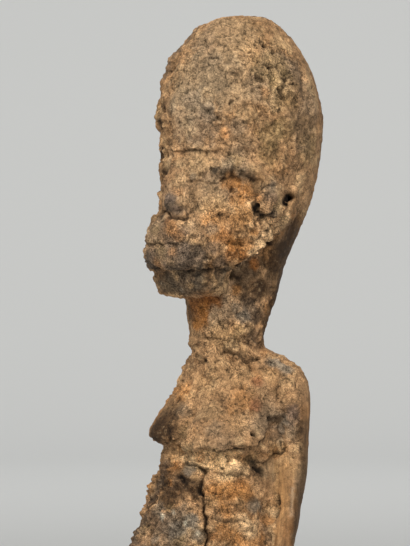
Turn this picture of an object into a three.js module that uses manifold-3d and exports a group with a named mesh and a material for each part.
// A standing figure of the Lobi kind, carved from one block of wood: a tall egg-shaped head on a thick
// neck, a face whose jaw stands out from the nape as a ledge, set-back shoulders, low breasts cut off
// flat beneath, arms that lie along the sides, a belly pushed forward, short bent legs, and feet on a
// low oval plinth that is part of the same block.
//
// Millimetres, +Z up, the figure looks along -Y and its left hand is at +X. The origin is the middle of
// the plinth's underside.
import * as THREE from "three";
import { ParametricGeometry } from "three/addons/geometries/ParametricGeometry.js";
import { mergeVertices } from "three/addons/utils/BufferGeometryUtils.js";
import Module from "manifold-3d";

const wasm = await Module();
wasm.setup();

// Driving sizes, in millimetres.
const figureHeight = 556; // crown to soles
const plinthHeight = 24;
const plinthMargin = 13; // wood left round the feet
const plinthBevel = 3;
const footSink = 2; // how far the feet run down into the plinth, to be one with it
const incision = 1.3; // width of the cuts for the mouth, the fingers and the toes
const earHoleRadius = 2;
const earHoleDepth = 8;

// The figure's proportions are thousandths of its height, and heights are counted up from the soles.
const level = {
  brow: 882.5,
  eyes: 860,
  ears: 846,
  noseTip: 842,
  noseBase: 830,
  mouth: 808,
  lipBase: 787.5,
  chin: 766,
  jawBack: 837.5,
  shoulders: 700,
  breasts: 640,
  handTip: 372,
};
const navel = { up: 508, halfSize: 6.5, depth: 8, sink: 2.5 };
const earSize = { front: 8.5, radius: 12, rim: 4, sink: 0.5, holeBehind: 20.5 };
const buttock = { across: 27, front: -32, up: 368, halfWidth: 28, halfDepth: 28, halfHeight: 34 };
const feet = { across: 34.5, halfWidth: 25, front: 70, back: 27 };
const hand = { across: 66, front: 34, back: -4, reach: 34 };
const fingerCount = 4;
const toeCount = 5;

const sides = [-1, 1]; // the figure's right and left

function ofHeight(thousandths) {
  return (thousandths * figureHeight) / 1000;
}

// A point from how far to the side, to the front and up it lies, in thousandths.
function placed(across, front, up) {
  return new THREE.Vector3(ofHeight(across), -ofHeight(front), plinthHeight + ofHeight(up));
}

// A closed geometry as a solid that can be cut and joined.
function solidOf(geometry) {
  const plain = geometry.index ? geometry.toNonIndexed() : geometry;
  plain.deleteAttribute("normal");
  plain.deleteAttribute("uv");
  const merged = mergeVertices(plain, 1e-3);
  return new wasm.Manifold(
    new wasm.Mesh({
      numProp: 3,
      vertProperties: merged.attributes.position.array,
      triVerts: new Uint32Array(merged.index.array),
    }),
  );
}

function joined(solids) {
  return solids.reduce((whole, solid) => whole.add(solid));
}

// A form built up from level sections. Each station is [up, halfWidth, front, back, across], in
// thousandths. front and back are measured from the axis, and across is how far to the side the middle
// lies. The stations run upwards. roundness is 2 for an oval section and more for a boxy one, and turned
// swings the section round its own middle.
function carved(stations, { facets, roundness, side = 1, turned = 0 }) {
  const rounded = (wave) => Math.sign(wave) * Math.abs(wave) ** (2 / roundness);
  const last = stations.length - 1;
  const surface = (turn, rise, target) => {
    // The row before the first station and the one after the last are the middles of the flat ends.
    const row = Math.round(rise * (last + 2)) - 1;
    const reach = row < 0 || row > last ? 0 : 1;
    const [up, halfWidth, front, back, across = 0] = stations[THREE.MathUtils.clamp(row, 0, last)];
    const middle = (front - back) / 2;
    const depth = (front + back) / 2;
    const angle = 2 * Math.PI * turn;
    const section = new THREE.Vector2(
      reach * halfWidth * rounded(Math.cos(angle)),
      -reach * depth * rounded(Math.sin(angle)),
    ).rotateAround(new THREE.Vector2(), side * turned);
    target.copy(placed(side * across + section.x, middle + section.y, up));
  };
  return solidOf(new ParametricGeometry(surface, facets, last + 2));
}

// The sizes of such a form at a height between two of its stations.
function sizesAt(stations, up) {
  const next = Math.max(1, stations.findIndex(([height]) => height >= up));
  const [low, high] = [stations[next - 1], stations[next]];
  const share = (up - low[0]) / (high[0] - low[0]);
  return low.map((size, i) => THREE.MathUtils.lerp(size, high[i], share));
}

// A ball squashed to three half sizes, in thousandths.
function swelling(halfWidth, halfDepth, halfHeight, middle, facets = 16) {
  const ball = new THREE.SphereGeometry(1, facets, Math.round(facets * 0.6));
  ball.scale(ofHeight(halfWidth), ofHeight(halfDepth), ofHeight(halfHeight));
  ball.translate(...middle);
  return solidOf(ball);
}

// A block to cut with, in millimetres, tilted about the line from side to side.
function cutter(width, depth, height, middle, tilt = 0) {
  const block = new THREE.BoxGeometry(width, depth, height);
  block.rotateX(tilt);
  block.translate(...middle);
  return solidOf(block);
}

// Skull, brow and cheeks in one form. The brow starts at a crease and ends in a ledge over the eyes,
// and both fade out towards the temples.
const headStations = [
  [level.chin - 3, 27, 48, 10],
  [level.chin + 6, 35, 60, 20],
  [788, 43, 65, 30],
  [806, 49.5, 65.5, 42],
  [823, 54, 64.5, 54],
  [838, 56.5, 64, 63],
  [849, 57, 62.5, 68],
  [level.eyes - 2.5, 58, 62.5, 73],
  [level.eyes, 58, 59.5, 74],
  [level.eyes + 2, 58.5, 62.3, 75.5],
  [872, 58.9, 63, 78],
  [level.brow - 3, 59, 61.6, 80],
  [level.brow, 59.3, 58.6, 80.7],
  [level.brow + 3, 59.8, 61, 81.3],
  [898, 61, 61.4, 83],
  [913, 62.2, 63.9, 83.2],
  [927, 61.2, 64.2, 80.5],
  [941, 58.4, 59.8, 77.2],
  [953, 55, 55.6, 73.3],
  [963, 51.2, 52.2, 67],
  [972, 46.2, 45.5, 61],
  [980, 41.3, 39.3, 54.2],
  [987, 36.6, 33.8, 47.5],
  [992, 32.6, 28.4, 42.4],
  [996.5, 25, 17, 36],
  [1000, 14, 4, 24],
];

function head() {
  const form = carved(headStations, { facets: 32, roundness: 2.15 });
  // The plane under the jaw rises from the chin to behind the ears.
  const chinEdge = placed(0, 47.5, level.chin + 12);
  const earEdge = placed(0, -35, level.jawBack);
  const rise = Math.atan2(earEdge.z - chinEdge.z, earEdge.y - chinEdge.y);
  const below = new THREE.Vector3(0, Math.sin(rise), -Math.cos(rise));
  const middle = chinEdge.addScaledVector(below, figureHeight / 4);
  const cutSize = figureHeight / 2;
  return form.subtract(cutter(cutSize, cutSize, cutSize, middle, rise));
}

function nose() {
  return carved(
    [
      [level.noseBase, 12, 68.5, -45],
      [level.noseBase + 3, 16.5, 72, -45],
      [level.noseTip, 17.8, 73.5, -45],
      [855, 15, 71.5, -45],
      [869, 11, 68, -45],
      [level.brow, 8, 63, -45],
    ],
    { facets: 20, roundness: 2.3 },
  );
}

// Lips and chin in one block that stands out from the face, with the slit of the mouth across its front.
function muzzle() {
  const lipFront = 82.5;
  const block = carved(
    [
      [level.chin, 23, 52, -28],
      [level.chin + 1.5, 27, 59, -26],
      [level.chin + 5, 31, 64.5, -24],
      [level.chin + 12, 33, 67.5, -22],
      [level.lipBase - 1, 34, 69, -20],
      [level.lipBase + 1, 35.5, 77.5, -10],
      [level.lipBase + 7, 36.5, lipFront, 0],
      [level.mouth + 8, 35, lipFront, 0],
      [level.mouth + 14, 32.5, 81, 0],
      [level.noseBase - 2, 32, 77.5, 0],
      [level.noseBase + 4, 30, 72, 0],
      [level.noseBase + 9, 22, 60, 0],
    ],
    { facets: 28, roundness: 2.8 },
  );
  const slit = cutter(ofHeight(52), ofHeight(14), incision, placed(0, lipFront, level.mouth));
  return block.subtract(slit);
}

// A low ear: a round ridge with a knob in its middle, half sunk in the side of the head.
function ear(side) {
  const [, headSide] = sizesAt(headStations, level.ears);
  const middle = placed(side * (headSide - earSize.sink), earSize.front, level.ears);
  const ridge = new THREE.TorusGeometry(ofHeight(earSize.radius), ofHeight(earSize.rim), 8, 16);
  ridge.rotateY(Math.PI / 2);
  ridge.scale(1, 1.15, 1);
  ridge.translate(...middle);
  const knob = swelling(5, 0.75 * earSize.radius, 0.67 * earSize.radius, middle, 14);
  return solidOf(ridge).add(knob);
}

// The hole is bored behind the ear's middle.
function earHole(side) {
  const [, headSide] = sizesAt(headStations, level.ears);
  const bore = new THREE.CylinderGeometry(earHoleRadius, earHoleRadius, 2 * earHoleDepth, 12);
  bore.rotateZ(Math.PI / 2);
  bore.translate(...placed(side * headSide, earSize.front - earSize.holeBehind, level.ears));
  return solidOf(bore);
}

// The neck runs up and back into a nape that closes the underside of the skull.
function neck() {
  return carved(
    [
      [level.shoulders, 32, 34, 28],
      [722, 30, 36, 26],
      [733, 30, 38, 26],
      [752, 31.5, 40, 33],
      [765, 33.5, 42.5, 39],
      [778, 34.5, 39.5, 43],
      [792, 36, 35, 48],
      [805, 38.5, 31.5, 54.5],
      [818, 42, 28, 60.5],
      [832, 46, 25, 66.5],
      [845, 50, 25, 71.5],
      [860, 52, 25, 75.8],
      [877, 46, 25, 75],
    ],
    { facets: 28, roundness: 2.1 },
  );
}

const torsoStations = [
  [316, 30, 28, 30],
  [326, 45, 38, 40],
  [345, 54, 46, 46],
  [372, 58.5, 54, 47],
  [402, 60, 67, 44],
  [440, 60, 85, 36],
  [480, 58.5, 99, 27],
  [520, 56, 104, 22],
  [558, 53, 97.5, 24],
  [577, 51.7, 86.5, 27],
  [597, 50.5, 78.5, 29],
  [637, 50.5, 58, 33],
  [662, 52, 48.5, 36],
  [684, 52, 41, 36],
  [702, 50, 33, 34],
  [713, 43, 30, 30],
  [721, 31, 32, 26],
];

// The navel stands out of the belly a little.
function navelKnob() {
  const [, , bellyFront] = sizesAt(torsoStations, navel.up);
  const middle = placed(0, bellyFront - navel.sink, navel.up);
  return swelling(navel.halfSize, navel.depth, navel.halfSize, middle, 12);
}

// The top of the shoulders, sloping down from the neck to where the arms start.
function yoke() {
  return carved(
    [
      [600, 45, 12, 24],
      [655, 54, 12, 36],
      [690, 66, 12, 38],
      [703, 68, 12, 38],
      [709, 65, 13, 36.5],
      [714, 58, 15, 33.5],
      [718, 49, 18, 30],
      [721.5, 37, 22, 27],
      [724, 28, 25, 25],
    ],
    { facets: 26, roundness: 2.2 },
  );
}

// Broad breasts that slope out from the shoulders and are cut off beneath.
function breast(side) {
  const base = level.breasts - side * 2.5; // the left one hangs lower
  return carved(
    [
      [base, 27, 45, -20, 28],
      [base + 3, 34, 54, -14, 28],
      [base + 8, 37.5, 60.5, -9, 28],
      [base + 15, 36, 59, -7, 28],
      [base + 32, 31, 46, -3, 26],
      [base + 50, 25, 35.5, 0, 24],
      [base + 64, 18, 27, 0, 22],
    ],
    { facets: 26, roundness: 2, side, turned: THREE.MathUtils.degToRad(-42) },
  );
}

// Shoulder, arm and hand. The arm lies against the flank, and the hand on the hip.
function arm(side) {
  const limb = carved(
    [
      [level.handTip, 5, 26, 2, 66],
      [level.handTip + 6, 7, 32, -1, 66],
      [402, 8.5, 34, -4, 66],
      [425, 9, 31, -4, 64.5],
      [440, 9.5, 27.5, -5, 63],
      [480, 13, 21.5, 2.5, 58.5],
      [522, 14.5, 16, 5, 55.5],
      [560, 14.2, 9.5, 10, 54.4],
      [600, 15.2, 2.5, 21.5, 54.8],
      [622, 15.8, 1, 26, 55],
      [645, 15.2, 0, 28, 55.4],
      [680, 13.8, 3, 31, 56.5],
      [696, 13.3, 5, 32, 55],
      [706, 9.5, 3, 30, 53.5],
    ],
    { facets: 12, roundness: 2.2, side },
  );
  const grooves = [];
  for (let i = 1; i < fingerCount; i++) {
    const front = THREE.MathUtils.lerp(hand.front, hand.back + 6, i / fingerCount);
    grooves.push(
      cutter(
        ofHeight(9),
        incision,
        ofHeight(hand.reach),
        placed(side * (hand.across + 10.5), front, level.handTip + 11),
      ),
    );
  }
  return limb.subtract(joined(grooves));
}

function leg(side) {
  return carved(
    [
      [20, 17, 13, 21, 34],
      [42, 16.5, 15, 20, 34],
      [70, 18, 19, 20, 34],
      [105, 22.5, 24, 26, 34],
      [135, 25, 29, 28.5, 34],
      [160, 23.5, 34, 22, 34],
      [180, 23, 40, 15, 33.5],
      [198, 24, 43, 12, 33.5],
      [225, 26.5, 42, 17, 33.5],
      [270, 29, 40, 28, 33],
      [312, 30, 39, 37, 32],
      [345, 29.5, 40, 40, 30.5],
      [368, 24, 34, 36, 29],
    ],
    { facets: 16, roundness: 2.2, side },
  );
}

function foot(side) {
  const shape = carved(
    [
      [-footSink / ofHeight(1), feet.halfWidth, feet.front, feet.back, feet.across],
      [6, feet.halfWidth, feet.front - 1, feet.back, feet.across],
      [12, 23.5, 64, 26.5, feet.across],
      [20, 20.5, 42, 25, feet.across],
      [28, 17.5, 24, 23, 34],
      [40, 15, 14, 20, 34],
    ],
    { facets: 20, roundness: 2.6, side },
  );
  const grooves = [];
  for (let i = 1; i < toeCount; i++) {
    const across = feet.across + feet.halfWidth * ((2 * i) / toeCount - 1);
    grooves.push(
      cutter(incision, ofHeight(22), ofHeight(24), placed(side * across, feet.front - 4, 14)),
    );
  }
  return shape.subtract(joined(grooves));
}

// A low oval plinth left in the block, as wide as the feet need.
function plinth() {
  const halfWidth = ofHeight(feet.across + feet.halfWidth) + plinthMargin;
  const halfLength = ofHeight(feet.front + feet.back) / 2 + plinthMargin;
  const middle = ofHeight(feet.front - feet.back) / 2;
  const outline = new THREE.Shape();
  outline.absellipse(0, -middle, halfWidth - plinthBevel, halfLength - plinthBevel, 0, 2 * Math.PI);
  const block = new THREE.ExtrudeGeometry(outline, {
    depth: plinthHeight - 2 * plinthBevel,
    curveSegments: 18,
    bevelThickness: plinthBevel,
    bevelSize: plinthBevel,
    bevelSegments: 2,
  });
  block.translate(0, 0, plinthBevel);
  return solidOf(block);
}

const figureSolid = joined([
  head(),
  nose(),
  muzzle(),
  neck(),
  carved(torsoStations, { facets: 30, roundness: 2.2 }),
  navelKnob(),
  yoke(),
  plinth(),
  ...sides.flatMap((side) => [
    ear(side),
    breast(side),
    arm(side),
    swelling(
      buttock.halfWidth,
      buttock.halfDepth,
      buttock.halfHeight,
      placed(side * buttock.across, buttock.front, buttock.up),
      14,
    ),
    leg(side),
    foot(side),
  ]),
]).subtract(joined(sides.map(earHole)));

function geometryOf(solid) {
  const { vertProperties, triVerts } = solid.getMesh();
  const geometry = new THREE.BufferGeometry();
  geometry.setAttribute("position", new THREE.BufferAttribute(vertProperties, 3));
  geometry.setIndex(new THREE.BufferAttribute(triVerts, 1));
  geometry.computeVertexNormals();
  return geometry;
}

const crustedWood = new THREE.MeshStandardMaterial({
  color: 0x8a6a48,
  roughness: 0.92,
  metalness: 0,
});

const figure = new THREE.Mesh(geometryOf(figureSolid), crustedWood);
figure.name = "figure";

const model = new THREE.Group();
model.add(figure);

export default model;
